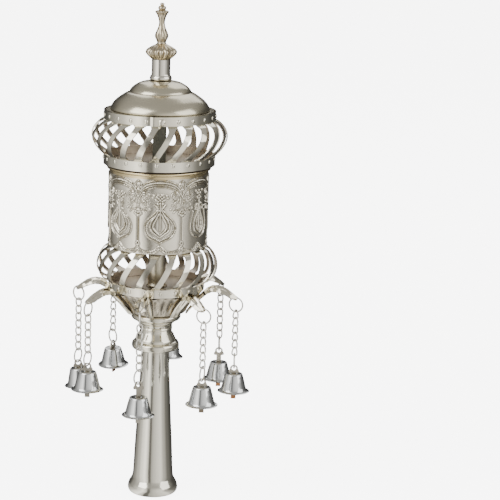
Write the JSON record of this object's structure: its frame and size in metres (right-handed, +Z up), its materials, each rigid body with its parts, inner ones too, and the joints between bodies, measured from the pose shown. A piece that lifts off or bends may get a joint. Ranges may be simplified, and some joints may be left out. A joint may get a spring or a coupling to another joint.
{
  "type": "torah finial",
  "caption": "Silver scroll finial: hollow tapering stem, spool knop, pierced bulbous crown round an embossed drum, domed top with spire, and chains of small bells on scroll arms.",
  "frame": {"origin": "centre of the stem's foot, on its underside", "axes": "+Z up the stem to the spire's tip; +Y towards the back, so the front panel of the drum faces -Y"},
  "size_m": [0.1344, 0.1382, 0.36],
  "materials": {
    "silver": "polished silver plate, warm and slightly worn",
    "satin": "satin silver plate",
    "warm_silver": "polished silver plate with a yellowish tinge",
    "brown_plate": "unpolished brownish plate",
    "dark_post": "dull grey-green metal",
    "bell_silver": "cool polished silver plate",
    "wire_silver": "worn silver plate on wire and strip"
  },
  "bodies": {
    "root": {"handle": "silver", "knop": "silver", "calyx": "silver", "lower_plate": "brown_plate", "lower_basket": "silver", "centre_tube": "satin", "drum": "silver", "neck_ring": "warm_silver", "upper_plate": "brown_plate", "upper_post": "dark_post", "upper_basket": "silver", "top_plate": "satin", "dome": "satin", "neck_tube": "warm_silver", "spire": "warm_silver", "hanging_ring_1": "wire_silver", "chain_1": "wire_silver", "bell_ring_1": "wire_silver", "hanger_1": "wire_silver", "bell_1": "bell_silver", "hanging_ring_2": "wire_silver", "chain_2": "wire_silver", "bell_ring_2": "wire_silver", "hanger_2": "wire_silver", "bell_2": "bell_silver", "hanging_ring_3": "wire_silver", "chain_3": "wire_silver", "bell_ring_3": "wire_silver", "hanger_3": "wire_silver", "bell_3": "bell_silver", "hanging_ring_4": "wire_silver", "chain_4": "wire_silver", "bell_ring_4": "wire_silver", "hanger_4": "wire_silver", "bell_4": "bell_silver", "hanging_ring_5": "wire_silver", "chain_5": "wire_silver", "bell_ring_5": "wire_silver", "hanger_5": "wire_silver", "bell_5": "bell_silver", "hanging_ring_6": "wire_silver", "chain_6": "wire_silver", "bell_ring_6": "wire_silver", "hanger_6": "wire_silver", "bell_6": "bell_silver", "hanging_ring_7": "wire_silver", "chain_7": "wire_silver", "bell_ring_7": "wire_silver", "hanger_7": "wire_silver", "bell_7": "bell_silver", "hanging_ring_8": "wire_silver", "chain_8": "wire_silver", "bell_ring_8": "wire_silver", "hanger_8": "wire_silver", "bell_8": "bell_silver"}
  },
  "joints": []
}
